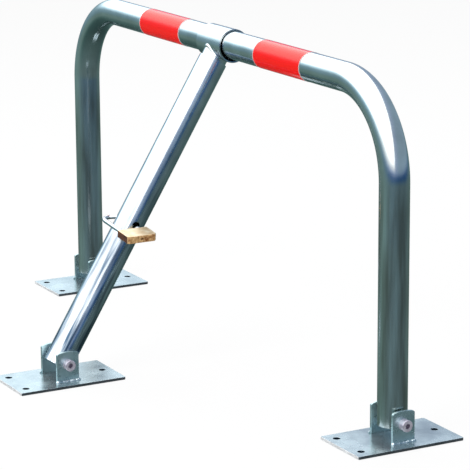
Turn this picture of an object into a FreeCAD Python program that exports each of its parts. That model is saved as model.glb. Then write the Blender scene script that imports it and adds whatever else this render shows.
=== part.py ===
# Folding parking barrier: a bent tube hoop on two hinged feet, held up by a telescopic strut
# with a hinged foot of its own. A padlock through both strut tubes keeps the hoop upright.
# Axes: X runs along the hoop, Y across it and Z up. The strut leans from its foot at -Y up to
# the hoop at +Y. The origin is on the ground, in the middle between the feet.
import FreeCAD, Part
import math
import os

from FreeCAD import Vector

os.makedirs("parts", exist_ok=True)

# Driving sizes, in millimetres and degrees
hoop_width = 1200.0
hoop_height = 600.0
tube_diameter = 50.0
tube_wall = 2.5
bend_radius = 150.0
strut_reach = 330.0
fold_angle = 89.0

plate_length = 200.0
plate_width = 120.0
plate_thickness = 5.0
plate_corner = 3.0
anchor_hole_diameter = 12.0
anchor_side_inset = 22.0
anchor_end_inset = 18.0

ear_width = 42.0
ear_height = 54.0
ear_thickness = 5.0
ear_crown = 3.0
ear_corner = 3.0
ear_side_play = 4.0
weld_leg = 4.0
weld_hollow = 0.42
pivot_height = 31.0
tube_end_drop = 9.0
open_pivot_gap = 0.3

bolt_diameter = 12.0
bolt_head_diameter = 20.0
bolt_head_height = 12.0
bolt_head_chamfer = 1.5
bolt_socket_width = 8.0
bolt_socket_depth = 6.0
bolt_end_stick_out = 2.0
nut_width = 18.0
nut_height = 10.0
washer_diameter = 24.0
washer_thickness = 2.5
ear_hole_clearance = 0.25
hinge_clearance = 0.08
nut_clearance = 0.05

strut_diameter = 52.0
strut_wall = 2.0
slide_clearance = 0.5
inner_tube_wall = 2.5
strut_rim_gap = 2.5

collar_bore = 54.0
collar_wall = 3.0
collar_length = 86.0
collar_touch_gap = 0.3
collar_weld_width = 2.0

band_length = 160.0
band_thickness = 0.4
left_band_position = -202.0
right_band_position = 236.0

lock_position = 271.0
lock_hole_clearance = 3.2
slot_end_margin = 20.0
lock_rest_gap = 0.4
lock_droop = 6.0
lock_face_gap = 19.5
lock_body_width = 56.0
lock_body_height = 42.0
lock_body_thickness = 13.0
lock_body_edge = 0.8
lock_body_corner = 4.0
shackle_diameter = 8.0
shackle_bend_setback = 1.5
shackle_bore_clearance = 0.3
toe_depth = 12.0
heel_depth = 35.0
heel_bore_floor = 2.0
unlock_travel = 13.0
notch_depth = 1.2
ball_depth = 6.5
ball_clearance = 0.2
plug_diameter = 12.0
plug_clearance = 0.1
plug_end_depth = 2.5
keyway_width = 2.0
keyway_height = 7.0
keyway_depth = 20.0
retainer_diameter = 2.4
retainer_depth = 14.0
retainer_clearance = 0.2
groove_depth = 1.0
spring_wire = 0.8
spring_turns = 2.5
spring_side_clearance = 0.4

# Sizes that follow from the driving ones
tube_radius = tube_diameter / 2
leg_x = hoop_width / 2 - tube_radius
hoop_y = strut_reach / 2
strut_foot_y = -strut_reach / 2
pivot_z = plate_thickness + pivot_height
bar_z = hoop_height - tube_radius

strut_radius = strut_diameter / 2
inner_tube_radius = strut_radius - strut_wall - slide_clearance
ear_inner_x = max(tube_radius, strut_radius) + ear_side_play
ear_outer_x = ear_inner_x + ear_thickness

strut_rise = bar_z - pivot_z
strut_length = math.hypot(strut_reach, strut_rise)
strut_direction = Vector(0, strut_reach / strut_length, strut_rise / strut_length)
strut_foot = Vector(0, strut_foot_y, pivot_z)
bar_centre = Vector(0, hoop_y, bar_z)

folded_reach = strut_reach + strut_rise * math.sin(math.radians(fold_angle))
folded_rise = strut_rise * math.cos(math.radians(fold_angle))
strut_travel = math.hypot(folded_reach, folded_rise) - strut_length

collar_radius = collar_bore / 2 + collar_wall
collar_centre = bar_centre - Vector(0, 0, collar_bore / 2 - tube_radius - collar_touch_gap)
collar_low_point = (bar_centre - collar_centre).dot(strut_direction) + collar_radius

lock_centre = strut_foot + strut_direction * lock_position
shackle_radius = shackle_diameter / 2
lock_hole_radius = shackle_radius + lock_hole_clearance
shackle_spacing = (strut_radius + shackle_radius + lock_rest_gap) / strut_direction.z
lock_middle_y = lock_centre.y - shackle_spacing / 2
heel_y = lock_centre.y - shackle_spacing
lock_face_x = strut_radius + lock_face_gap
lock_bottom_x = lock_face_x + lock_body_height
ball_room = (shackle_spacing - shackle_diameter - plug_diameter) / 2
ball_radius = ball_room / 2 - ball_clearance
ball_offset = (plug_diameter + ball_room) / 2


def rod(start, end, radius):
    run = end - start
    return Part.makeCylinder(radius, run.Length, start, run)


def pipe(start, end, radius, wall):
    along = (end - start).normalize() * wall
    return rod(start, end, radius).cut(rod(start - along, end + along, radius - wall))


def block(low, high):
    size = high - low
    return Part.makeBox(size.x, size.y, size.z, low)


def hexagon(centre, width, height):
    """A hexagonal prism that runs from centre along +X."""
    corner = width / math.sqrt(3)
    points = []
    for step in range(7):
        turn = math.radians(60 * step)
        points.append(centre + Vector(0, corner * math.sin(turn), corner * math.cos(turn)))
    return Part.Face(Part.makePolygon(points)).extrude(Vector(height, 0, 0))


def edges_along(shape, axis):
    found = []
    for edge in shape.Edges:
        if edge.Curve.TypeId == "Part::GeomLine":
            run = edge.Vertexes[-1].Point - edge.Vertexes[0].Point
            if abs(abs(run.normalize().dot(axis)) - 1) < 1e-6:
                found.append(edge)
    return found


def drooped(shape):
    """The padlock's own tilt: its body hangs lower than the tube that the shackle goes through."""
    tilted = shape.copy()
    tilted.rotate(lock_centre, Vector(0, 1, 0), lock_droop)
    return tilted


def save(name, shapes):
    solids = []
    for shape in shapes:
        solids.extend(shape.Solids)
    result = solids[0] if len(solids) == 1 else Part.makeCompound(solids)
    result.exportStep("parts/" + name + ".step")
    print(name, len(solids), "solid(s),", round(result.Volume / 1000, 2), "cm3")


def hoop_core(radius):
    """The solid run of one leg, bend, bar, bend and leg, as thick as the radius given."""
    leg_end_z = pivot_z - tube_end_drop
    bend_z = bar_z - bend_radius
    bend_x = leg_x - bend_radius
    core = rod(Vector(-bend_x, hoop_y, bar_z), Vector(bend_x, hoop_y, bar_z), radius)
    for side in (-1, 1):
        leg = rod(Vector(side * leg_x, hoop_y, leg_end_z), Vector(side * leg_x, hoop_y, bend_z), radius)
        disc = Part.Face(Part.Wire(Part.makeCircle(radius, Vector(side * leg_x, hoop_y, bend_z))))
        bend = disc.revolve(Vector(side * bend_x, hoop_y, bend_z), Vector(0, -side, 0), 90)
        core = core.fuse([leg, bend])
    return core


def hoop_tube():
    inner = hoop_core(tube_radius - tube_wall)
    leg_end_z = pivot_z - tube_end_drop
    for side in (-1, 1):
        low = Vector(side * leg_x, hoop_y, leg_end_z - tube_wall)
        inner = inner.fuse(rod(low, low + Vector(0, 0, 2 * tube_wall), tube_radius - tube_wall))
    hoop = hoop_core(tube_radius).cut(inner)
    for side in (-1, 1):
        hoop = hoop.cut(cross_hole(side * leg_x, hoop_y, bolt_diameter / 2 + hinge_clearance))
    return hoop.removeSplitter()


def cross_hole(x, y, radius):
    """The drill that goes along X through a foot's ears and the tube between them."""
    reach = Vector(ear_outer_x + ear_thickness, 0, 0)
    centre = Vector(x, y, pivot_z)
    return rod(centre - reach, centre + reach, radius)


def band(position):
    middle = Vector(position, hoop_y, bar_z)
    half = Vector(band_length / 2, 0, 0)
    return pipe(middle - half, middle + half, tube_radius + band_thickness, band_thickness)


def base_plate(x, y):
    low = Vector(x - plate_width / 2, y - plate_length / 2, 0)
    plate = block(low, low + Vector(plate_width, plate_length, plate_thickness))
    plate = plate.makeFillet(plate_corner, edges_along(plate, Vector(0, 0, 1)))
    hole_x = plate_width / 2 - anchor_side_inset
    hole_y = plate_length / 2 - anchor_end_inset
    for place in ((-hole_x, -hole_y), (hole_x, -hole_y), (0, hole_y)):
        low = Vector(x + place[0], y + place[1], -plate_thickness)
        plate = plate.cut(rod(low, low + Vector(0, 0, 3 * plate_thickness), anchor_hole_diameter / 2))
    return plate


def ear(x, y, side):
    """One upright hinge lug with a slightly crowned top edge."""
    face_x = x + min(side * ear_inner_x, side * ear_outer_x)
    half = ear_width / 2
    shoulder_z = plate_thickness + ear_height - ear_crown
    corners = [
        Vector(face_x, y - half, shoulder_z),
        Vector(face_x, y - half, plate_thickness),
        Vector(face_x, y + half, plate_thickness),
        Vector(face_x, y + half, shoulder_z),
    ]
    crown = Part.Arc(corners[3], Vector(face_x, y, plate_thickness + ear_height), corners[0])
    outline = Part.Wire([
        Part.makeLine(corners[0], corners[1]),
        Part.makeLine(corners[1], corners[2]),
        Part.makeLine(corners[2], corners[3]),
        crown.toShape(),
    ])
    lug = Part.Face(outline).extrude(Vector(ear_thickness, 0, 0))
    tops = [edge for edge in edges_along(lug, Vector(1, 0, 0)) if edge.CenterOfMass.z > pivot_z]
    lug = lug.makeFillet(ear_corner, tops)
    return lug.cut(cross_hole(x, y, bolt_diameter / 2 + ear_hole_clearance))


def weld_bead(x, y, side):
    """A fillet weld along an ear's outer foot, with a hollowed face."""
    root_x = x + side * ear_outer_x
    half = ear_width / 2
    toe = Vector(root_x + side * weld_leg, y - half, plate_thickness)
    root = Vector(root_x, y - half, plate_thickness)
    head = Vector(root_x, y - half, plate_thickness + weld_leg)
    hollow = root + Vector(side * weld_leg, 0, weld_leg) * weld_hollow
    outline = Part.Wire([
        Part.makeLine(head, root),
        Part.makeLine(root, toe),
        Part.Arc(toe, hollow, head).toShape(),
    ])
    return Part.Face(outline).extrude(Vector(0, ear_width, 0))


def bolt_head(face_x, y):
    face = Vector(face_x, y, pivot_z)
    top = face + Vector(bolt_head_height, 0, 0)
    head = rod(face, top, bolt_head_diameter / 2)
    rims = [edge for edge in head.Edges if abs(edge.CenterOfMass.x - top.x) < 1e-6]
    head = head.makeChamfer(bolt_head_chamfer, rims[:1])
    socket = hexagon(top - Vector(bolt_socket_depth, 0, 0), bolt_socket_width, 2 * bolt_socket_depth)
    return head.cut(socket)


def bolt_end_x(x):
    return x - ear_outer_x - washer_thickness - nut_height - bolt_end_stick_out


def pivot_bolt(x, y):
    shank = rod(Vector(bolt_end_x(x), y, pivot_z), Vector(x + ear_outer_x, y, pivot_z), bolt_diameter / 2)
    return bolt_head(x + ear_outer_x, y).fuse(shank).removeSplitter()


def bolt_head_end(x, y):
    """The strut foot's bolt from its head to just short of the tube."""
    tip = Vector(x + strut_radius + open_pivot_gap, y, pivot_z)
    shank = rod(tip, Vector(x + ear_outer_x, y, pivot_z), bolt_diameter / 2)
    return bolt_head(x + ear_outer_x, y).fuse(shank).removeSplitter()


def bolt_thread_end(x, y):
    """The other end of the strut foot's bolt, under the washer and the nut."""
    tip = Vector(x - strut_radius - open_pivot_gap, y, pivot_z)
    return rod(Vector(bolt_end_x(x), y, pivot_z), tip, bolt_diameter / 2)


def nut_and_washer(x, y):
    seat = Vector(x - ear_outer_x, y, pivot_z)
    washer_face = seat - Vector(washer_thickness, 0, 0)
    nut_end = washer_face - Vector(nut_height, 0, 0)
    drill = rod(nut_end - Vector(1, 0, 0), seat + Vector(1, 0, 0), bolt_diameter / 2 + nut_clearance)
    washer = rod(washer_face, seat, washer_diameter / 2).cut(drill)
    nut = hexagon(nut_end, nut_width, nut_height).cut(drill)
    return nut, washer


def save_foot(foot, x, y, open_pivot):
    save(foot + "_base_plate", [base_plate(x, y)])
    save(foot + "_ear_head_side", [ear(x, y, 1)])
    save(foot + "_ear_nut_side", [ear(x, y, -1)])
    save(foot + "_weld_beads", [weld_bead(x, y, 1), weld_bead(x, y, -1)])
    if open_pivot:
        save(foot + "_bolt_head_end", [bolt_head_end(x, y)])
        save(foot + "_bolt_thread_end", [bolt_thread_end(x, y)])
    else:
        save(foot + "_pivot_bolt", [pivot_bolt(x, y)])
    nut, washer = nut_and_washer(x, y)
    save(foot + "_nut", [nut])
    save(foot + "_washer", [washer])


def along_strut(distance):
    return strut_foot + strut_direction * distance


def strut_outer_tube():
    rim = strut_length - collar_low_point - collar_weld_width - strut_rim_gap
    tube = pipe(along_strut(-tube_end_drop), along_strut(rim), strut_radius, strut_wall)
    tube = tube.cut(cross_hole(0, strut_foot_y, bolt_diameter / 2 + hinge_clearance))
    reach = Vector(strut_diameter, 0, 0)
    return tube.cut(rod(lock_centre - reach, lock_centre + reach, lock_hole_radius))


def strut_inner_tube():
    """The inner tube, coped to the collar, with slots as long as the travel for the shackle."""
    low_end = lock_position - strut_travel - slot_end_margin
    tube = pipe(along_strut(low_end), bar_centre, inner_tube_radius, inner_tube_wall)
    reach = Vector(collar_length, 0, 0)
    tube = tube.cut(rod(collar_centre - reach, collar_centre + reach, collar_radius))
    across = Vector(strut_diameter, 0, 0)
    for distance in (0, -strut_travel):
        middle = lock_centre + strut_direction * distance
        tube = tube.cut(rod(middle - across, middle + across, lock_hole_radius))
    sideways = Vector(1, 0, 0).cross(strut_direction) * lock_hole_radius
    start = lock_centre - across - sideways
    outline = [start, start + sideways * 2, start + sideways * 2, start, start]
    outline[2] = outline[1] - strut_direction * strut_travel
    outline[3] = outline[0] - strut_direction * strut_travel
    slot = Part.Face(Part.makePolygon(outline)).extrude(across * 2)
    return tube.cut(slot).removeSplitter()


def collar_ring():
    half = Vector(collar_length / 2, 0, 0)
    return pipe(collar_centre - half, collar_centre + half, collar_radius, collar_wall)


def collar_weld():
    """The bead around the coped end of the inner tube, where it meets the collar."""
    half = Vector(collar_length / 2, 0, 0)
    skin = rod(collar_centre - half, collar_centre + half, collar_radius + collar_weld_width)
    skin = skin.cut(rod(collar_centre - half * 2, collar_centre + half * 2, collar_radius))
    low = along_strut(strut_length / 2)
    around = rod(low, bar_centre, inner_tube_radius + collar_weld_width)
    around = around.cut(rod(low, bar_centre, inner_tube_radius))
    return skin.common(around)


def lock_body():
    middle_x = (lock_face_x + lock_bottom_x) / 2
    middle_z = lock_centre.z
    half_width = lock_body_width / 2
    half_thickness = lock_body_thickness / 2
    low = Vector(lock_face_x, lock_middle_y - half_width, middle_z - half_thickness)
    high = Vector(lock_bottom_x, lock_middle_y + half_width, middle_z + half_thickness)
    body = block(low, high)
    upright = edges_along(body, Vector(0, 0, 1))
    body = body.makeChamfer(lock_body_corner, [edge for edge in upright if edge.CenterOfMass.x > middle_x])
    flat_edges = [edge for edge in body.Edges if abs(edge.CenterOfMass.z - middle_z) > half_thickness / 2]
    body = body.makeChamfer(lock_body_edge, flat_edges)

    bore = shackle_radius + shackle_bore_clearance
    toe = Vector(lock_face_x, lock_centre.y, middle_z)
    heel = Vector(lock_face_x, heel_y, middle_z)
    back = Vector(lock_body_edge, 0, 0)
    body = body.cut(rod(toe - back, toe + Vector(toe_depth + shackle_radius / 2, 0, 0), bore))
    body = body.cut(rod(heel - back, heel + Vector(lock_body_height - heel_bore_floor, 0, 0), bore))
    body = body.cut(rod(heel_ball_way(), toe_ball_way(), ball_radius + ball_clearance))
    plug_start = Vector(lock_face_x + plug_end_depth - plug_clearance, lock_middle_y, middle_z)
    plug_end = Vector(lock_bottom_x + 1, lock_middle_y, middle_z)
    body = body.cut(rod(plug_start, plug_end, plug_diameter / 2 + plug_clearance))
    return body.cut(lock_retainer())


def heel_ball_way():
    return Vector(lock_face_x + ball_depth, heel_y, lock_centre.z)


def toe_ball_way():
    return Vector(lock_face_x + ball_depth, lock_centre.y, lock_centre.z)


def lock_balls(radius, offset):
    balls = []
    for side in (-1, 1):
        centre = Vector(lock_face_x + ball_depth, lock_middle_y + side * offset, lock_centre.z)
        balls.append(Part.makeSphere(radius, centre))
    return balls


def lock_retainer():
    """The cross pin that keeps the long leg of the shackle in the body."""
    reach = shackle_radius - groove_depth + retainer_clearance + retainer_diameter / 2
    low = Vector(lock_face_x + retainer_depth, heel_y - reach, lock_centre.z - lock_body_thickness / 2)
    return rod(low, low + Vector(0, 0, lock_body_thickness), retainer_diameter / 2)


def lock_shackle():
    z = lock_centre.z
    bend_x = -(strut_radius - shackle_bend_setback)
    bend_centre = Vector(bend_x, lock_middle_y, z)
    toe = rod(Vector(bend_x, lock_centre.y, z), Vector(lock_face_x + toe_depth, lock_centre.y, z), shackle_radius)
    heel = rod(Vector(bend_x, heel_y, z), Vector(lock_face_x + heel_depth, heel_y, z), shackle_radius)
    ring = Part.makeCircle(shackle_radius, Vector(bend_x, lock_centre.y, z), Vector(1, 0, 0))
    bend = Part.Face(Part.Wire(ring)).revolve(bend_centre, Vector(0, 0, 1), 180)
    shackle = toe.fuse([heel, bend])
    for ball in lock_balls(ball_radius, ball_offset + ball_clearance + notch_depth):
        shackle = shackle.cut(ball)
    slack = retainer_diameter / 2 + retainer_clearance
    groove_start = Vector(lock_face_x + retainer_depth - slack, heel_y, z)
    groove_end = groove_start + Vector(unlock_travel + 2 * slack, 0, 0)
    groove = rod(groove_start, groove_end, shackle_diameter)
    groove = groove.cut(rod(groove_start, groove_end, shackle_radius - groove_depth))
    return shackle.cut(groove).removeSplitter()


def key_plug():
    start = Vector(lock_face_x + plug_end_depth, lock_middle_y, lock_centre.z)
    end = Vector(lock_bottom_x, lock_middle_y, lock_centre.z)
    plug = rod(start, end, plug_diameter / 2)
    half = Vector(0, keyway_height / 2, keyway_width / 2)
    return plug.cut(block(end - Vector(keyway_depth, 0, 0) - half, end + Vector(1, 0, 0) + half))


def lock_spring():
    """The coil under the long leg, which lifts the shackle when the lock opens."""
    room = lock_body_height - heel_bore_floor - heel_depth - spring_wire - 2 * lock_rest_gap
    radius = shackle_radius - spring_side_clearance - spring_wire / 2
    helix = Part.makeHelix(room / spring_turns, room, radius)
    wire = Part.makeCircle(spring_wire / 2, Vector(radius, 0, 0), Vector(0, 1, 0))
    coil = Part.Wire(helix).makePipeShell([Part.Wire(wire)], True, True)
    coil.rotate(Vector(0, 0, 0), Vector(0, 1, 0), 90)
    coil.translate(Vector(lock_face_x + heel_depth + lock_rest_gap + spring_wire / 2, heel_y, lock_centre.z))
    return coil


save("hoop_tube", [hoop_tube()])
save("red_band_left", [band(left_band_position)])
save("red_band_right", [band(right_band_position)])
save_foot("right_foot", leg_x, hoop_y, False)
save_foot("left_foot", -leg_x, hoop_y, False)
save_foot("strut_foot", 0, strut_foot_y, True)
save("strut_outer_tube", [strut_outer_tube()])
save("strut_inner_tube", [strut_inner_tube()])
save("collar_ring", [collar_ring()])
save("collar_weld", [collar_weld()])
save("padlock_body", [drooped(lock_body())])
save("padlock_shackle", [drooped(lock_shackle())])
save("padlock_key_plug", [drooped(key_plug())])
save("padlock_locking_balls", [drooped(ball) for ball in lock_balls(ball_radius, ball_offset)])
save("padlock_retaining_pin", [drooped(lock_retainer())])
save("padlock_spring", [drooped(lock_spring())])

print("strut angle", round(math.degrees(math.asin(strut_direction.z)), 3), "travel", round(strut_travel, 3))
print("bar centre", bar_centre, "strut foot", strut_foot, "lock centre", lock_centre)
print("lock middle", round(lock_middle_y, 3), "heel", round(heel_y, 3), "ball radius", round(ball_radius, 3))
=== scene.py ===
# Folding parking barrier on white: zinc plated hoop, telescopic strut, red bands and a brass padlock.
# Metres and Z up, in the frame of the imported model: X along the hoop, the strut leans from -Y.
import math

import bpy
from mathutils import Matrix, Vector


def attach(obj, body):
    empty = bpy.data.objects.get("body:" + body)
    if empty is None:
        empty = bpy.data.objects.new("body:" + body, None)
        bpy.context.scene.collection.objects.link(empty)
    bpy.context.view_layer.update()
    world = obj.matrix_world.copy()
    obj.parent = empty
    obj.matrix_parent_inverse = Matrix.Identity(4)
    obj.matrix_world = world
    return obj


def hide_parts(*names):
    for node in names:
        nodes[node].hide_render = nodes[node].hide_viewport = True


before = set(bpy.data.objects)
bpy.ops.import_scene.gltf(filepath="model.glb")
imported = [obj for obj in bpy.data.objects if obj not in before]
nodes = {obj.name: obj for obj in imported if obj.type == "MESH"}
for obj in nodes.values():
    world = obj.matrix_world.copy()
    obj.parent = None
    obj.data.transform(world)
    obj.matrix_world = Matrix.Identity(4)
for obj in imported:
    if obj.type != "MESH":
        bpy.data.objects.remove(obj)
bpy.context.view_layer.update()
print("frame loaded:", len(nodes), "nodes")


# A hex colour as the linear red, green, blue and alpha that a node takes.
def linear(hexColour):
    channels = [int(hexColour[i:i + 2], 16) / 255 for i in (1, 3, 5)]
    return [c / 12.92 if c <= 0.04045 else ((c + 0.055) / 1.055) ** 2.4 for c in channels] + [1.0]


# Adds a node with its settings, its colour stops and its links. A link from a node takes its first output.
def addNode(tree, kind, settings=None, links=None, stops=()):
    node = tree.nodes.new("ShaderNode" + kind)
    for name, value in (settings or {}).items():
        if isinstance(name, int) or name in node.inputs:
            node.inputs[name].default_value = value
        else:
            setattr(node, name, value)
    for name, source in (links or {}).items():
        socket = source.outputs[0] if isinstance(source, bpy.types.Node) else source
        tree.links.new(socket, node.inputs[name])
    for index, (place, colour) in enumerate(stops):    # a colour ramp starts with two stops
        elements = node.color_ramp.elements
        element = elements[index] if index < len(elements) else elements.new(place)
        element.position = place
        element.color = linear(colour)
    return node


# Camera: the photograph's view, from the right and a little above.
view = {"place": (3.66405, -1.79207, 1.22247), "turn": 61.61, "tilt": -13.54, "roll": -0.37, "lens": 180.7,
        "sensor": 36.0, "farthest": 60.0}


def addCamera():
    data = bpy.data.cameras.new("camera")
    data.lens = view["lens"]
    data.sensor_width = view["sensor"]
    data.clip_end = view["farthest"]
    piece = bpy.data.objects.new("camera", data)
    bpy.context.scene.collection.objects.link(piece)
    turn, tilt, roll = (math.radians(view[angle]) for angle in ("turn", "tilt", "roll"))
    ahead = Vector((-math.sin(turn) * math.cos(tilt), math.cos(turn) * math.cos(tilt), math.sin(tilt)))
    right = Vector((math.cos(turn), math.sin(turn), 0))
    up = right.cross(ahead)
    side = right * math.cos(roll) + up * math.sin(roll)
    top = up * math.cos(roll) - right * math.sin(roll)
    place = Matrix((side, top, -ahead)).transposed().to_4x4()
    place.translation = view["place"]
    piece.matrix_world = place
    bpy.context.scene.camera = piece


# Surroundings: even white light, and what the zinc mirrors: a white sky over darker ground.
# Each ramp runs from straight down (0) over the horizon (0.5) to straight up (1). The front ramp lies
# towards +X and the back ramp towards -X. A pale blue-grey veil covers the sky towards +X and +Y.
surroundings = {
    "fill": "#F4F6F8", "fillLevel": 0.60,
    "front": [(0.0, "#536866"), (0.36, "#667A7C"), (0.42, "#5C767E"), (0.445, "#124B80"), (0.485, "#1A4C86"),
              (0.515, "#9DB8E0"), (0.545, "#FFFFFF")],
    "back": [(0.0, "#2F4442"), (0.24, "#3F5957"), (0.31, "#56736F"), (0.355, "#6F8884"), (0.42, "#718C89"),
             (0.48, "#7896A0"), (0.534, "#86A6B2"), (0.59, "#96B0BC"), (0.62, "#A9C0CB"), (0.65, "#E8F2F8"),
             (0.69, "#FFFFFF")],
    "backUntil": -0.5, "frontFrom": 0.6,
    "groundReach": 0.9, "groundLevels": (1.04, 0.82),
    "skyFrom": 0.55, "skyWhole": 0.61, "skyLevel": 2.2,
    "veil": [(0.0, "#A0B0CB"), (1.0, "#8DA3B4")], "veilTowards": (0.36, 0.80, -0.48), "veilFrom": -0.11,
    "veilWhole": -0.04, "veilDarkest": 0.4, "veilRise": 0.04,
}


def addWorld():
    world = bpy.data.worlds.new("whiteStudio")
    bpy.context.scene.world = world
    world.use_nodes = True
    tree = world.node_tree
    tree.nodes.clear()
    about = surroundings
    rays = addNode(tree, "LightPath")
    direction = addNode(tree, "TexCoord").outputs["Generated"]
    parts = addNode(tree, "SeparateXYZ", links={0: direction})
    height = addNode(tree, "MapRange", {"From Min": -1.0, "From Max": 1.0}, {"Value": parts.outputs["Z"]})
    back = addNode(tree, "ValToRGB", links={"Fac": height}, stops=about["back"])
    front = addNode(tree, "ValToRGB", links={"Fac": height}, stops=about["front"])
    frontShare = addNode(tree, "MapRange", {"From Min": about["backUntil"], "From Max": about["frontFrom"]},
                         {"Value": parts.outputs["X"]})
    seen = addNode(tree, "Mix", {"data_type": "RGBA"}, {0: frontShare, 6: back, 7: front})
    left, right = about["groundLevels"]
    ground = addNode(tree, "MapRange", {"From Min": -about["groundReach"], "From Max": about["groundReach"],
                                        "To Min": left, "To Max": right}, {"Value": parts.outputs["Y"]})
    level = addNode(tree, "MapRange", {"From Min": about["skyFrom"], "From Max": about["skyWhole"],
                                       "To Max": about["skyLevel"]}, {"Value": height, "To Min": ground})
    openSky = addNode(tree, "Background", links={"Color": seen.outputs[2], "Strength": level})
    aside = addNode(tree, "VectorMath", {"operation": "DOT_PRODUCT", 1: about["veilTowards"]},
                    {0: direction}).outputs["Value"]
    share = addNode(tree, "MapRange", {"interpolation_type": "SMOOTHSTEP", "From Min": about["veilFrom"],
                                       "From Max": about["veilWhole"]}, {"Value": aside})
    above = addNode(tree, "MapRange", {"From Min": 0.0, "From Max": about["veilRise"]},
                    {"Value": parts.outputs["Z"]})
    veiled = addNode(tree, "Math", {"operation": "MULTIPLY"}, {0: share, 1: above})
    depth = addNode(tree, "MapRange", {"From Max": about["veilDarkest"]}, {"Value": aside})
    tint = addNode(tree, "ValToRGB", links={"Fac": depth}, stops=about["veil"])
    veil = addNode(tree, "Background", {"Strength": 1.0}, {"Color": tint})
    mirrored = addNode(tree, "MixShader", links={0: veiled, 1: openSky, 2: veil})
    fill = addNode(tree, "Background", {"Color": linear(about["fill"]), "Strength": about["fillLevel"]})
    onMetal = addNode(tree, "MixShader", links={0: rays.outputs["Is Glossy Ray"], 1: fill, 2: mirrored})
    white = addNode(tree, "Background", {"Color": (1, 1, 1, 1), "Strength": 1.0})
    straight = addNode(tree, "Math", {"operation": "MAXIMUM"},
                       {0: rays.outputs["Is Camera Ray"], 1: rays.outputs["Is Transmission Ray"]})
    whole = addNode(tree, "MixShader", links={0: straight, 1: onMetal, 2: white})
    addNode(tree, "OutputWorld", links={"Surface": whole})


# Floor: plain and pale, seen nearly white, with a faint shadow.
floor = {"size": 50.0, "drop": 0.0005, "colour": "#F2F2F2", "whiteShare": 0.9}


def addFloor():
    bpy.ops.object.select_all(action="DESELECT")
    bpy.ops.mesh.primitive_plane_add(size=floor["size"], location=(0, 0, -floor["drop"]))
    piece = bpy.context.object
    piece.name = "floor"
    bpy.ops.object.transform_apply(location=True, rotation=True, scale=True)
    piece.visible_glossy = False    # the metal mirrors the world's ground instead
    material = bpy.data.materials.new("whiteFloor")
    material.use_nodes = True
    tree = material.node_tree
    tree.nodes.clear()
    rays = addNode(tree, "LightPath")
    painted = addNode(tree, "BsdfDiffuse", {"Color": linear(floor["colour"])})
    white = addNode(tree, "Emission", {"Color": (1, 1, 1, 1), "Strength": 1.0})
    seen = addNode(tree, "Math", {"operation": "MAXIMUM"},
                   {0: rays.outputs["Is Camera Ray"], 1: rays.outputs["Is Transmission Ray"]})
    share = addNode(tree, "Math", {"operation": "MULTIPLY", 1: floor["whiteShare"]}, {0: seen})
    whole = addNode(tree, "MixShader", links={0: share, 1: painted, 2: white})
    addNode(tree, "OutputMaterial", links={"Surface": whole})
    piece.data.materials.append(material)


# Lamps: two wide, soft ones, which shine at the middle of the strut.
lampTarget = (0, 0, 0.3)
lamps = {
    "keyLamp": {"place": (1.2, -3.2, 3.4), "size": 2.6, "watts": 110.0},
    "topLamp": {"place": (-1.6, 0.6, 3.8), "size": 3.0, "watts": 80.0},
}


def addLamps():
    for name, lamp in lamps.items():
        data = bpy.data.lights.new(name, "AREA")
        data.size = lamp["size"]
        data.energy = lamp["watts"]
        piece = bpy.data.objects.new(name, data)
        bpy.context.scene.collection.objects.link(piece)
        piece.visible_glossy = False
        piece.location = lamp["place"]
        piece.rotation_euler = (Vector(lampTarget) - piece.location).to_track_quat("-Z", "Y").to_euler()


bpy.context.scene.view_settings.view_transform = "Standard"
addCamera()
addWorld()
addFloor()
addLamps()
print("camera, world, floor and lamps set")


mmPerMetre = 1000

# What all finishes share: which values of a pattern count, how fine it is, and how long its marks are.
spread = {"noise": (0.3, 0.7), "tone": (0.35, 0.65), "faint": (0.54, 0.66), "cloudDetail": 4.0,
          "cloudRoughness": 0.6, "streakDetail": 3.0, "grainDetail": 2.0, "bumpDepth": 0.0002,
          "markLength": 12.5, "markFade": 0.04}

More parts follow.
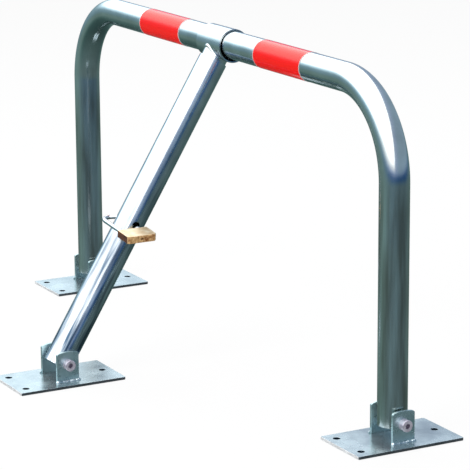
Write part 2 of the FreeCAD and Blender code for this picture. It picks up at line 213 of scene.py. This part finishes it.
# Finishes. cloudMm, streakMm and grainMm are the size of a surface's clouds, streaks and grain, in
# millimetres. Grain finer than a pixel of the render (about 2 mm) is drawn nearly that coarse, so that it
# shows. Rough is from clear to dull.
looks = {
    # drawn steel tube, zinc plated: mirror-like, faintly clouded, with upright run marks on the legs
    "zincPlatedTube": {"dark": "#A4A39E", "light": "#DDE4E5", "rough": (0.14, 0.2), "cloudMm": 60,
                       "grainMm": 3, "grainDepth": 0.04, "streakMm": 16, "lean": 0.0, "streakBeyond": 0.5,
                       "streakHeights": (0.46, 0.38)},
    # the strut's tube: the same, with blue-grey streaks along it that grow towards its foot, a painted
    # reflection that breaks up the white sky on its lower part
    "strutPaintedReflection": {"dark": "#465D73", "light": "#E6EDF2", "rough": (0.14, 0.2), "cloudMm": 60, "grainMm": 3,
                   "grainDepth": 0.04, "streakMm": 8, "lean": -31.5, "streakBeyond": -1.0,
                   "streakHeights": (0.45, 0.13)},
    # rolled and cut plate, zinc plated: grey-blue, with a soft mirror image of the ears standing on it
    "zincPlatedPlate": {"dark": "#99AAB2", "light": "#B8CAD1", "rough": (0.2, 0.3), "cloudMm": 55,
                        "grainMm": 2, "grainDepth": 0.12, "metallic": 0.7},
    # long sides of the plates: a dark grey line, painted shade
    "longSidePaintedShade": {"dark": "#6A6A6D", "light": "#858588", "rough": (0.3, 0.4), "cloudMm": 20,
                   "grainMm": 1.5, "grainDepth": 0.2, "metallic": 0.9},
    # short ends of the plates: nearly white, a painted highlight
    "shortEndPaintedHighlight": {"dark": "#D5D4D6", "light": "#EEEEF0", "rough": (0.3, 0.45), "cloudMm": 12,
                   "grainMm": 1.5, "grainDepth": 0.2, "metallic": 0.2},
    # punched ears of the same plate: a greener, satin face
    "zincPlatedEar": {"dark": "#A9C3C6", "light": "#C2D8DA", "rough": (0.22, 0.34), "cloudMm": 30,
                      "grainMm": 2, "grainDepth": 0.12, "metallic": 0.85},
    # painted shade inside holes and tubes: dull and nearly black
    "insidePaintedShade": {"dark": "#1F2C3A", "light": "#33465A", "rough": (0.45, 0.6), "cloudMm": 8,
                     "grainMm": 1, "grainDepth": 0.2},
    # turned and passivated bolts: bright with a faint violet tint
    "passivatedBolt": {"dark": "#BDB5C4", "light": "#DAD4E0", "rough": (0.14, 0.22), "cloudMm": 9,
                       "grainMm": 2, "grainDepth": 0.05, "metallic": 0.5},
    # hex socket: the same violet, darker, as painted shade in its recess
    "socketPaintedShade": {"dark": "#7F7789", "light": "#A79FB1", "rough": (0.3, 0.4), "cloudMm": 4,
                      "grainMm": 1, "grainDepth": 0.1, "metallic": 0.4},
    # cut edge of the film's clear cover: a pale matt line
    "cutFilmEdge": {"dark": "#C2B6B6", "light": "#D8CECE", "rough": (0.3, 0.4), "cloudMm": 20, "grainMm": 2,
                    "grainDepth": 0.0, "metallic": 0.2},
    # weld bead, zinc plated over its ripples: wet-looking and sparkling
    "platedWeld": {"dark": "#A9BCC2", "light": "#DCE6E9", "rough": (0.16, 0.28), "cloudMm": 6,
                   "grainMm": 1.5, "grainDepth": 0.2},
    # cast and ground brass: pale straw, satin
    "groundBrass": {"dark": "#F0CF9E", "light": "#FBEBCB", "rough": (0.30, 0.42), "cloudMm": 14,
                    "grainMm": 1.2, "grainDepth": 0.2, "metallic": 0.6},
    # milled end of the padlock: mottled in brown and straw
    "milledBrass": {"dark": "#94531F", "light": "#F2C88C", "rough": (0.35, 0.5), "cloudMm": 5,
                    "grainMm": 1.2, "grainDepth": 0.3, "metallic": 0.3},
    # brass of the padlock's narrow sides: dark brown
    "narrowSideBrass": {"dark": "#5A3526", "light": "#84553E", "rough": (0.35, 0.5), "cloudMm": 7,
                       "grainMm": 1.2, "grainDepth": 0.3, "metallic": 0.6},
    # polished and chromed shackle: a clear mirror
    "chromedShackle": {"dark": "#D9DBDD", "light": "#E9EBED", "rough": (0.10, 0.16), "cloudMm": 20,
                       "grainMm": 2, "grainDepth": 0.03},
}


def metalMaterial(name, look):
    material = bpy.data.materials.new(name)
    material.use_nodes = True
    tree = material.node_tree
    tree.nodes.clear()
    place = addNode(tree, "TexCoord").outputs["Object"]
    cloudScale, grainScale = (mmPerMetre / look[size] for size in ("cloudMm", "grainMm"))
    clouds = addNode(tree, "TexNoise", {"Scale": cloudScale, "Detail": spread["cloudDetail"],
                                        "Roughness": spread["cloudRoughness"]}, {"Vector": place})
    low, high = spread["noise"]
    pattern = clouds
    # On the legs the marks are run marks of the plating; on the strut they are painted reflection.
    if "streakMm" in look:    # long marks that follow the tube, beyond a place along X and below a height
        lean = math.radians(look["lean"])
        run = addNode(tree, "Mapping", {"vector_type": "TEXTURE", "Rotation": (lean, 0, 0),
                                        "Scale": (1, 1, spread["markLength"])}, {"Vector": place})
        streakScale = mmPerMetre / look["streakMm"]
        streaks = addNode(tree, "TexNoise", {"Scale": streakScale, "Detail": spread["streakDetail"]},
                          {"Vector": run})
        parts = addNode(tree, "SeparateXYZ", links={0: place})
        aside = addNode(tree, "Math", {"operation": "ABSOLUTE"}, {0: parts.outputs["X"]})
        beyond = look["streakBeyond"]
        outer = addNode(tree, "MapRange", {"From Min": beyond, "From Max": beyond + spread["markFade"]},
                        {"Value": aside})
        top, full = look["streakHeights"]
        marked = addNode(tree, "MapRange", {"From Min": top, "From Max": full},
                         {"Value": parts.outputs["Z"], "To Max": outer})
        faintLow, faintHigh = spread["faint"]
        faint = addNode(tree, "MapRange", {"From Min": low, "From Max": high, "To Min": faintLow,
                                           "To Max": faintHigh}, {"Value": clouds})
        pattern = addNode(tree, "Mix", links={0: marked, 2: faint, 3: streaks})
    toneLow, toneHigh = spread["tone"]
    tone = addNode(tree, "ValToRGB", links={"Fac": pattern},
                   stops=[(toneLow, look["dark"]), (toneHigh, look["light"])])
    clear, dull = look["rough"]
    rough = addNode(tree, "MapRange", {"From Min": low, "From Max": high, "To Min": clear, "To Max": dull},
                    {"Value": clouds})
    grain = addNode(tree, "TexNoise", {"Scale": grainScale, "Detail": spread["grainDetail"]},
                    {"Vector": place})
    bump = addNode(tree, "Bump", {"Strength": look["grainDepth"], "Distance": spread["bumpDepth"]},
                   {"Height": grain})
    shader = addNode(tree, "BsdfPrincipled", {"Metallic": look.get("metallic", 1.0)},
                     {"Base Color": tone, "Roughness": rough, "Normal": bump})
    addNode(tree, "OutputMaterial", links={"Surface": shader})
    return material


# Printed reflective film: a saturated red under a clear glossy face, so the sky lies pink along its top.
# The face mirrors a little warmer than white, which keeps the red below clear.
film = {"colour": "#F00A03", "rough": 0.12, "ior": 1.45, "mirrorTint": "#FFC4B4"}


def filmMaterial():
    material = bpy.data.materials.new("printedRedFilm")
    material.use_nodes = True
    shader = material.node_tree.nodes["Principled BSDF"]
    shader.inputs["Base Color"].default_value = linear(film["colour"])
    shader.inputs["Roughness"].default_value = film["rough"]
    shader.inputs["IOR"].default_value = film["ior"]
    shader.inputs["Specular Tint"].default_value = linear(film["mirrorTint"])
    return material


metals = {name: metalMaterial(name, look) for name, look in looks.items()}
slotMaterials = {
    "galvanised_tube": metals["zincPlatedTube"],
    "galvanised_steel": metals["zincPlatedPlate"],
    "zinc_fastener": metals["passivatedBolt"],
    "red_reflective_film": filmMaterial(),
    "lock_brass": metals["groundBrass"],
    "plated_shackle_steel": metals["chromedShackle"],
}
for name, node in nodes.items():
    node.material_slots[0].material = slotMaterials[node.material_slots[0].material.name]
nodes["padlock_key_plug"].material_slots[0].material = metals["milledBrass"]
print("materials set")


# Small steps that every piece uses, with their fixed values.
past = 0.01    # how far a drill runs beyond a face
hair = 1e-5    # places closer than this are the same
alongAxis = 0.9    # a direction counts as along an axis from this share of it
facing = 0.7    # a face counts as looking along an axis from this share of it
sharpFrom = 35    # an edge stays sharp from this many degrees between its faces
cornerSteps, chamferSteps, endSteps = 5, 3, 2    # steps round a plate's corner, an edge and a rod's end
tubeSides, rodSides, drillSides, hexSides = 96, 64, 48, 6


def deselectAll():
    if bpy.context.mode != "OBJECT":
        bpy.ops.object.mode_set(mode="OBJECT")
    bpy.ops.object.select_all(action="DESELECT")


def named(name):
    piece = bpy.context.object    # what was just added
    piece.name = name
    bpy.ops.object.transform_apply(location=True, rotation=True, scale=True)
    return piece


def addBlock(name, low, high):
    deselectAll()
    low, high = Vector(low), Vector(high)
    bpy.ops.mesh.primitive_cube_add(size=1, location=(low + high) / 2, scale=high - low)
    return named(name)


def addRod(name, start, end, radius, sides=rodSides, caps="NGON"):
    deselectAll()
    start, end = Vector(start), Vector(end)
    run = end - start
    turn = run.to_track_quat("Z", "Y").to_euler()
    bpy.ops.mesh.primitive_cylinder_add(vertices=sides, radius=radius, depth=run.length, end_fill_type=caps,
                                        location=(start + end) / 2, rotation=turn)
    return named(name)


# Selects the points, edges or faces whose middle passes the test, and leaves the piece in edit mode.
def pick(piece, kind, wanted):
    deselectAll()
    bpy.context.view_layer.objects.active = piece
    piece.select_set(True)
    bpy.ops.object.mode_set(mode="EDIT")
    bpy.ops.mesh.select_mode(type=kind)
    bpy.ops.mesh.select_all(action="DESELECT")
    bpy.ops.object.mode_set(mode="OBJECT")
    points = piece.data.vertices
    if kind == "VERT":
        for point in points:
            point.select = wanted(point.co)
    elif kind == "EDGE":
        for edge in piece.data.edges:
            a, b = (points[i].co for i in edge.vertices)
            edge.select = wanted((a + b) / 2, (b - a).normalized())
    else:
        for face in piece.data.polygons:
            face.select = wanted(face.center, face.normal)
    bpy.ops.object.mode_set(mode="EDIT")


def modify(piece, kind, **settings):
    deselectAll()
    bpy.context.view_layer.objects.active = piece
    piece.select_set(True)
    modifier = piece.modifiers.new(kind, kind)
    for name, value in settings.items():
        setattr(modifier, name, value)
    bpy.ops.object.modifier_apply(modifier=modifier.name)


# Takes the tool's shape out of the piece, and the tool away.
def cutWith(piece, tool):
    modify(piece, "BOOLEAN", operation="DIFFERENCE", solver="EXACT", object=tool)
    bpy.data.objects.remove(tool, do_unlink=True)


def drill(piece, start, end, radius, sides=drillSides):
    cutWith(piece, addRod("drill", start, end, radius, sides))


# Smooths the piece's shading, and puts it in the place of a node of the frame, on its body.
def complete(piece, node, body, material):
    deselectAll()
    bpy.context.view_layer.objects.active = piece
    piece.select_set(True)
    bpy.ops.object.shade_smooth_by_angle(angle=math.radians(sharpFrom))
    modify(piece, "WEIGHTED_NORMAL", keep_sharp=True)
    piece.data.materials.clear()
    piece.data.materials.append(material)
    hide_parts(node)
    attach(piece, body)
    return piece


# Gives the chosen faces of a finished piece a material of their own.
def paint(piece, material, wanted):
    piece.data.materials.append(material)
    pick(piece, "FACE", wanted)
    piece.active_material_index = len(piece.data.materials) - 1
    bpy.ops.object.material_slot_assign()
    bpy.ops.object.mode_set(mode="OBJECT")


# The hoop: one tube, bent twice, with a pivot hole through each leg's foot. DrillReach is how far a drill
# goes to both sides of a tube's middle.
hoop = {"legX": 0.575, "y": 0.165, "legEnd": 0.027, "bar": 0.575, "bend": 0.15, "radius": 0.025,
        "wall": 0.0025, "pivot": 0.036, "hole": 0.00608, "drillReach": 0.04, "bendSteps": 36}


def addHoop():
    legX, y, z, legEnd = hoop["legX"], hoop["y"], hoop["pivot"], hoop["legEnd"]
    inner, legTop = legX - hoop["bend"], hoop["bar"] - hoop["bend"]
    deselectAll()
    bpy.ops.mesh.primitive_circle_add(vertices=tubeSides, radius=hoop["radius"], location=(legX, y, legEnd))
    tube = named("hoopTube")
    pick(tube, "VERT", lambda point: True)
    bpy.ops.mesh.extrude_region_move(TRANSFORM_OT_translate={"value": (0, 0, legTop - legEnd)})
    quarter = {"steps": hoop["bendSteps"], "angle": math.radians(90), "axis": (0, 1, 0)}
    bpy.ops.mesh.spin(center=(inner, y, legTop), **quarter)
    bpy.ops.mesh.extrude_region_move(TRANSFORM_OT_translate={"value": (-2 * inner, 0, 0)})
    bpy.ops.mesh.spin(center=(-inner, y, legTop), **quarter)
    bpy.ops.mesh.extrude_region_move(TRANSFORM_OT_translate={"value": (0, 0, legEnd - legTop)})
    bpy.ops.mesh.select_all(action="SELECT")
    bpy.ops.mesh.remove_doubles(threshold=hair)
    bpy.ops.mesh.normals_make_consistent(inside=False)
    bpy.ops.object.mode_set(mode="OBJECT")
    modify(tube, "SOLIDIFY", thickness=hoop["wall"], offset=-1, use_even_offset=True)
    reach = hoop["drillReach"]
    for x in (-legX, legX):
        drill(tube, (x - reach, y, z), (x + reach, y, z), hoop["hole"], rodSides)
    complete(tube, "hoop_tube", "hoop", metals["zincPlatedTube"])
    core = hoop["radius"] - hoop["wall"] / 2
    # The legs' inner walls are painted nearly black, as painted shade inside the tube.
    paint(tube, metals["insidePaintedShade"], lambda middle, normal: middle.z < legTop
          and math.hypot(abs(middle.x) - legX, middle.y - y) < core)


addHoop()
print("hoop made")


def softenEdges(piece, width, degrees=40, segments=chamferSteps):
    modify(piece, "BEVEL", width=width, segments=segments, limit_method="ANGLE",
           angle_limit=math.radians(degrees))


# A straight tube with softened rims, for the strut and for the collar.
rims = {"softEdge": 0.0004, "degrees": 50}


def addTube(name, start, end, radius, wall):
    tube = addRod(name, start, end, radius, tubeSides, caps="NOTHING")
    modify(tube, "SOLIDIFY", thickness=wall, offset=-1, use_even_offset=True)
    softenEdges(tube, rims["softEdge"], rims["degrees"], endSteps)
    return tube


# The strut's outer tube, with holes for its foot bolt and for the padlock's shackle.
# Low, rim and lockAt are places along it, measured from the foot bolt.
strut = {"foot": (0, -hoop["y"], hoop["pivot"]), "top": (0, hoop["y"], hoop["bar"]), "low": -0.009,
         "rim": 0.596, "radius": 0.026, "wall": 0.002, "pivotHole": 0.00608, "lockAt": 0.271,
         "lockHole": 0.0072, "drillReach": 0.04}


def addStrut():
    foot, radius = Vector(strut["foot"]), strut["radius"]
    along = (Vector(strut["top"]) - foot).normalized()
    low, rim = (foot + along * strut[end] for end in ("low", "rim"))
    tube = addTube("strutTube", low, rim, radius, strut["wall"])
    across = Vector((strut["drillReach"], 0, 0))
    for distance, hole in ((0, strut["pivotHole"]), (strut["lockAt"], strut["lockHole"])):
        middle = foot + along * distance
        drill(tube, middle - across, middle + across, hole)
    complete(tube, "strut_outer_tube", "strut_bottom", metals["strutPaintedReflection"])
    core = radius - strut["wall"] / 2
    # The tube's inner wall is painted nearly black, as painted shade inside it.
    paint(tube, metals["insidePaintedShade"], lambda middle, normal: (middle - foot).cross(along).length < core)


# The collar hangs on the bar, so the gap between them is at the bottom.
collar = {"half": 0.043, "y": hoop["y"], "z": 0.5733, "radius": 0.03, "wall": 0.003, "boreShare": 0.9}


def addCollar():
    y, z, half = collar["y"], collar["z"], collar["half"]
    ring = addTube("collarRing", (-half, y, z), (half, y, z), collar["radius"], collar["wall"])
    complete(ring, "collar_ring", "strut_top", metals["zincPlatedTube"])
    core = collar["radius"] - collar["wall"] * collar["boreShare"]    # the ring's end face stays bright
    # The bore is painted nearly black, as painted shade inside the ring.
    paint(ring, metals["insidePaintedShade"], lambda middle, normal: math.hypot(middle.y - y, middle.z - z) < core)


# Red film bands, each with a narrow pale border at its ends.
bands = {"red_band_left": -0.202, "red_band_right": 0.236}
band = {"half": 0.08, "border": 0.002, "radius": 0.0254, "thick": 0.0004}


def addBand(node, middleX):
    y, z, half = hoop["y"], hoop["bar"], band["half"]
    sleeve = addRod("band", (middleX - half, y, z), (middleX + half, y, z), band["radius"], tubeSides,
                    caps="NOTHING")
    for x in (middleX - half + band["border"], middleX + half - band["border"]):
        pick(sleeve, "VERT", lambda point: True)
        bpy.ops.mesh.bisect(plane_co=(x, 0, 0), plane_no=(1, 0, 0))
    bpy.ops.object.mode_set(mode="OBJECT")
    modify(sleeve, "SOLIDIFY", thickness=band["thick"], offset=-1, use_even_offset=True)
    complete(sleeve, node, "hoop", slotMaterials["red_reflective_film"])
    paint(sleeve, metals["cutFilmEdge"],
          lambda middle, normal: abs(middle.x - middleX) > half - band["border"])


addStrut()
addCollar()
for node, middleX in bands.items():
    addBand(node, middleX)
print("strut, collar and bands made")


# Feet: one is modelled at the frame's middle, and each foot's pieces are copies of it. Drill says where the
# cut of a hole starts and ends.
feet = {"right_foot": (hoop["legX"], hoop["y"]), "left_foot": (-hoop["legX"], hoop["y"]),
        "strut_foot": (0.0, -hoop["y"])}
plate = {"length": 0.2, "width": 0.12, "thick": 0.005, "corner": 0.003, "hole": 0.006, "sideInset": 0.022,
         "endInset": 0.018, "drill": (-0.01, 0.02), "softEdge": 0.0006, "edgeBand": 0.002, "margin": 0.01,
         "wallSlope": 0.3}
ear = {"inner": 0.03, "outer": 0.035, "half": 0.021, "shoulder": 0.056, "crown": 0.003, "cuts": 11,
       "corner": 0.003, "hole": 0.00625, "drill": (0.02, 0.05), "softEdge": 0.0009, "topFrom": 0.04}


def copied(piece, name, offset):
    deselectAll()
    twin = piece.copy()
    twin.data = piece.data.copy()
    twin.name = name
    bpy.context.scene.collection.objects.link(twin)
    bpy.context.view_layer.objects.active = twin
    twin.select_set(True)
    twin.location = offset
    bpy.ops.object.transform_apply(location=True, rotation=True, scale=True)
    return twin


def joined(pieces, name):
    deselectAll()
    for piece in pieces:
        piece.select_set(True)
    bpy.context.view_layer.objects.active = pieces[0]
    bpy.ops.object.join()
    pieces[0].name = name
    return pieces[0]


def addPlate():
    half, deep, thick = plate["width"] / 2, plate["length"] / 2, plate["thick"]
    block = addBlock("plate", (-half, -deep, 0), (half, deep, thick))
    pick(block, "EDGE", lambda middle, run: abs(run.z) > alongAxis)
    bpy.ops.mesh.bevel(offset=plate["corner"], segments=cornerSteps)
    bpy.ops.object.mode_set(mode="OBJECT")
    holeX, holeY = half - plate["sideInset"], deep - plate["endInset"]
    below, above = plate["drill"]
    for x, y in ((-holeX, -holeY), (holeX, -holeY), (0, holeY)):
        drill(block, (x, y, below), (x, y, above), plate["hole"])
    softenEdges(block, plate["softEdge"])
    return block


def addEar():
    half, thick, z = ear["half"], plate["thick"], hoop["pivot"]
    lug = addBlock("ear", (ear["inner"], -half, thick), (ear["outer"], half, ear["shoulder"]))
    cuts = [half * (2 * step / (ear["cuts"] + 1) - 1) for step in range(1, ear["cuts"] + 1)]
    for y in cuts:
        pick(lug, "VERT", lambda point: True)
        bpy.ops.mesh.bisect(plane_co=(0, y, 0), plane_no=(0, 1, 0))
    for y in cuts:    # the top rises to its crown in the middle
        pick(lug, "VERT", lambda point: abs(point.y - y) < hair and point.z > ear["topFrom"])
        bpy.ops.transform.translate(value=(0, 0, ear["crown"] * (1 - (y / half) ** 2)))
    pick(lug, "EDGE", lambda middle, run: abs(run.x) > alongAxis and abs(abs(middle.y) - half) < hair
         and middle.z > ear["topFrom"])
    bpy.ops.mesh.bevel(offset=ear["corner"], segments=cornerSteps)
    bpy.ops.object.mode_set(mode="OBJECT")
    start, end = ear["drill"]
    drill(lug, (start, 0, z), (end, 0, z), ear["hole"])
    softenEdges(lug, ear["softEdge"])
    return lug


# Weld bead: overlapping drops of metal along the ear's outer foot, fused and cut flush with ear and plate.
# Drops are radii in millimetres. Run is the bead's share of the ear's width, and stretch is a drop's length
# against its width.
weld = {"drops": (3.9, 3.7, 3.0, 2.7, 2.9, 2.7, 2.8, 3.1, 2.9, 3.5, 3.9, 3.6, 3.2, 3.8, 3.9), "run": 0.93,
        "stretch": 1.15, "segments": 20, "rings": 12, "voxel": 0.0004, "sink": 0.0004, "smooth": 0.5,
        "smoothSteps": 3}


def addWeld():
    drops = []
    last = len(weld["drops"]) - 1
    for index, size in enumerate(weld["drops"]):
        y = ear["half"] * (2 * index / last - 1) * weld["run"]
        deselectAll()
        bpy.ops.mesh.primitive_uv_sphere_add(segments=weld["segments"], ring_count=weld["rings"],
                                             radius=size / mmPerMetre, scale=(1.0, weld["stretch"], 1.0),
                                             location=(ear["outer"], y, plate["thick"]))
        drops.append(named("drop"))
    bead = joined(drops, "weldBead")
    modify(bead, "REMESH", mode="VOXEL", voxel_size=weld["voxel"])
    modify(bead, "SMOOTH", factor=weld["smooth"], iterations=weld["smoothSteps"])
    outer, top = ear["outer"] - weld["sink"], plate["thick"] - weld["sink"]
    for cut, way in (((outer, 0, 0), (1, 0, 0)), ((0, 0, top), (0, 0, 1))):
        pick(bead, "VERT", lambda point: True)
        bpy.ops.mesh.bisect(plane_co=cut, plane_no=way, use_fill=True, clear_inner=True)
    bpy.ops.object.mode_set(mode="OBJECT")
    return bead


# Bolt: round head with a hex socket, a shank through ears and tube, and a chamfered end. The strut foot's
# bolt is only its two ends, with the gap between them.
bolt = {"radius": 0.006, "head": 0.01, "headHeight": 0.012, "chamfer": 0.0015, "socket": 0.004,
        "socketDepth": 0.006, "socketTool": 0.02, "socketSlack": 1.1, "socketFrom": 0.001,
        "softEdge": 0.0003, "end": -0.0495, "endChamfer": 0.0008, "strutGap": 0.0263}
nut = {"flat": 0.018, "height": 0.01, "bore": 0.00605, "softEdge": 0.0009}
washer = {"radius": 0.012, "thick": 0.0025, "bore": 0.00605, "softEdge": 0.0003}


def addBolt(shankEnd):
    z, face = hoop["pivot"], ear["outer"]
    body = addRod("bolt", (face, 0, z), (face + bolt["headHeight"], 0, z), bolt["head"])
    pick(body, "FACE", lambda middle, normal: normal.x > alongAxis)
    bpy.ops.mesh.bevel(offset=bolt["chamfer"], segments=chamferSteps)
    pick(body, "FACE", lambda middle, normal: normal.x < -alongAxis)
    bpy.ops.mesh.inset(thickness=bolt["head"] - bolt["radius"])
    bpy.ops.mesh.extrude_region_move(TRANSFORM_OT_translate={"value": (shankEnd - face, 0, 0)})
    bpy.ops.object.mode_set(mode="OBJECT")
    start = face + bolt["headHeight"] - bolt["socketDepth"]
    corner = bolt["socket"] / math.cos(math.radians(30))    # from the hexagon's middle to its corners
    cutWith(body, addRod("socket", (start, 0, z), (start + bolt["socketTool"], 0, z), corner, hexSides))
    softenEdges(body, bolt["softEdge"])
    return body


def addStub():
    z = hoop["pivot"]
    stub = addRod("stub", (bolt["end"], 0, z), (-bolt["strutGap"], 0, z), bolt["radius"])
    pick(stub, "FACE", lambda middle, normal: abs(normal.x) > alongAxis)
    bpy.ops.mesh.bevel(offset=bolt["endChamfer"], segments=endSteps)
    bpy.ops.object.mode_set(mode="OBJECT")
    return stub


def addNut():
    z, seat = hoop["pivot"], -ear["outer"] - washer["thick"]
    outside = seat - nut["height"]
    hexagon = addRod("nut", (outside, 0, z), (seat, 0, z), nut["flat"] / math.sqrt(3), hexSides)
    softenEdges(hexagon, nut["softEdge"])
    drill(hexagon, (outside - past, 0, z), (seat + past, 0, z), nut["bore"])
    return hexagon


def addWasher():
    z, seat = hoop["pivot"], -ear["outer"]
    disc = addRod("washer", (seat - washer["thick"], 0, z), (seat, 0, z), washer["radius"])
    drill(disc, (seat - past, 0, z), (seat + past, 0, z), washer["bore"])
    softenEdges(disc, washer["softEdge"])
    return disc


def mirrored(piece, name):
    twin = copied(piece, name, (0, 0, 0))
    twin.scale = (-1, 1, 1)
    bpy.ops.object.transform_apply(location=False, rotation=False, scale=True)
    pick(twin, "VERT", lambda point: True)
    bpy.ops.mesh.normals_make_consistent(inside=False)
    bpy.ops.object.mode_set(mode="OBJECT")
    return twin


# Faces of the feet's pieces that have a finish of their own: painted shade in the plates' holes and the
# bolts' sockets, a painted highlight on the plates' ends and painted shade on their long sides.
# Painted shade: the walls of the plates' holes.
def inPlateHole(middle, normal):
    inside = (plate["width"] / 2 - plate["margin"], plate["length"] / 2 - plate["margin"])
    return abs(normal.z) < plate["wallSlope"] and abs(middle.x) < inside[0] and abs(middle.y) < inside[1]


# Painted highlight: the plates' short ends.
def isShortEnd(middle, normal):
    return abs(normal.y) > facing and abs(middle.y) > plate["length"] / 2 - plate["edgeBand"]


# Painted shade: the plates' long sides.
def isLongSide(middle, normal):
    return abs(normal.x) > facing and abs(middle.x) > plate["width"] / 2 - plate["edgeBand"]


# Painted shade: the faces inside a bolt's socket.
def inSocket(middle, normal):
    fromAxis = math.hypot(middle.y, middle.z - hoop["pivot"])
    return fromAxis < bolt["socket"] * bolt["socketSlack"] and middle.x > ear["outer"] + bolt["socketFrom"]


facesApart = {
    "base_plate": ((inPlateHole, "insidePaintedShade"), (isShortEnd, "shortEndPaintedHighlight"), (isLongSide, "longSidePaintedShade")),
    "pivot_bolt": ((inSocket, "socketPaintedShade"),),
    "bolt_head_end": ((inSocket, "socketPaintedShade"),),
}


def addFeet():
    lug, bead = addEar(), addWeld()
    beads = joined([bead, mirrored(bead, "beadTwin")], "weldBeads")
    patterns = {
        "base_plate": (addPlate(), "galvanised_steel", "zincPlatedPlate"),
        "ear_head_side": (lug, "galvanised_steel", "zincPlatedEar"),
        "ear_nut_side": (mirrored(lug, "earTwin"), "galvanised_steel", "zincPlatedEar"),
        "weld_beads": (beads, "galvanised_tube", "platedWeld"),
        "pivot_bolt": (addBolt(bolt["end"]), "zinc_fastener", "passivatedBolt"),
        "bolt_head_end": (addBolt(bolt["strutGap"]), "zinc_fastener", "passivatedBolt"),
        "bolt_thread_end": (addStub(), "zinc_fastener", "passivatedBolt"),
        "nut": (addNut(), "zinc_fastener", "passivatedBolt"),
        "washer": (addWasher(), "zinc_fastener", "passivatedBolt"),
    }
    for foot, (x, y) in feet.items():
        for part, (pattern, slot, finish) in patterns.items():
            node = foot + "_" + part
            if node not in nodes:
                continue
            first, *others = node.split("_")
            name = first + "".join(word.capitalize() for word in others)
            piece = complete(copied(pattern, name, (x, y, 0)), node, "feet", metals[finish])
            centre = Vector((x, y, 0))
            for chosen, look in facesApart.get(part, ()):
                paint(piece, metals[look], lambda middle, normal: chosen(middle - centre, normal))
    for pattern, slot, finish in patterns.values():
        bpy.data.objects.remove(pattern, do_unlink=True)


addFeet()
print("feet made")


# Padlock body: a brass block with two chamfered corners, bored for the shackle and the key plug, tilted
# by its droop.
lock = {"pivot": (0, -0.0234963, 0.2671227), "middleY": -0.041319, "heelY": -0.059141, "face": 0.0455,
        "end": 0.0875, "half": 0.028, "halfThick": 0.0065, "corner": 0.004, "softEdge": 0.0009,
        "softFrom": 30, "bore": 0.0043, "toeDepth": 0.014, "heelDepth": 0.04, "plugBore": 0.0061,
        "plugStart": 0.0024, "droop": 6.0, "endBand": 0.01, "endFacing": 0.6}


def addLockBody():
    _, toeY, z = lock["pivot"]
    face, end, middleY = lock["face"], lock["end"], lock["middleY"]
    half, thick = lock["half"], lock["halfThick"]
    block = addBlock("lockBody", (face, middleY - half, z - thick), (end, middleY + half, z + thick))
    pick(block, "EDGE", lambda middle, run: abs(run.z) > alongAxis and middle.x > end - lock["endBand"])
    bpy.ops.mesh.bevel(offset=lock["corner"], segments=1)
    bpy.ops.object.mode_set(mode="OBJECT")
    softenEdges(block, lock["softEdge"], lock["softFrom"])
    for y, start, stop, radius in (
            (toeY, face - past, face + lock["toeDepth"], lock["bore"]),
            (lock["heelY"], face - past, face + lock["heelDepth"], lock["bore"]),
            (middleY, face + lock["plugStart"], end + past, lock["plugBore"])):
        drill(block, (start, y, z), (stop, y, z), radius)
    pick(block, "VERT", lambda point: True)
    droop = -math.radians(lock["droop"])
    bpy.ops.transform.rotate(value=droop, orient_axis="Y", center_override=lock["pivot"])
    bpy.ops.object.mode_set(mode="OBJECT")
    complete(block, "padlock_body", "lock_case", metals["groundBrass"])
    paint(block, metals["milledBrass"],
          lambda middle, normal: normal.x > lock["endFacing"] and middle.x > end - lock["endBand"])
    paint(block, metals["narrowSideBrass"], lambda middle, normal: abs(normal.y) > alongAxis)


addLockBody()
print("padlock made")
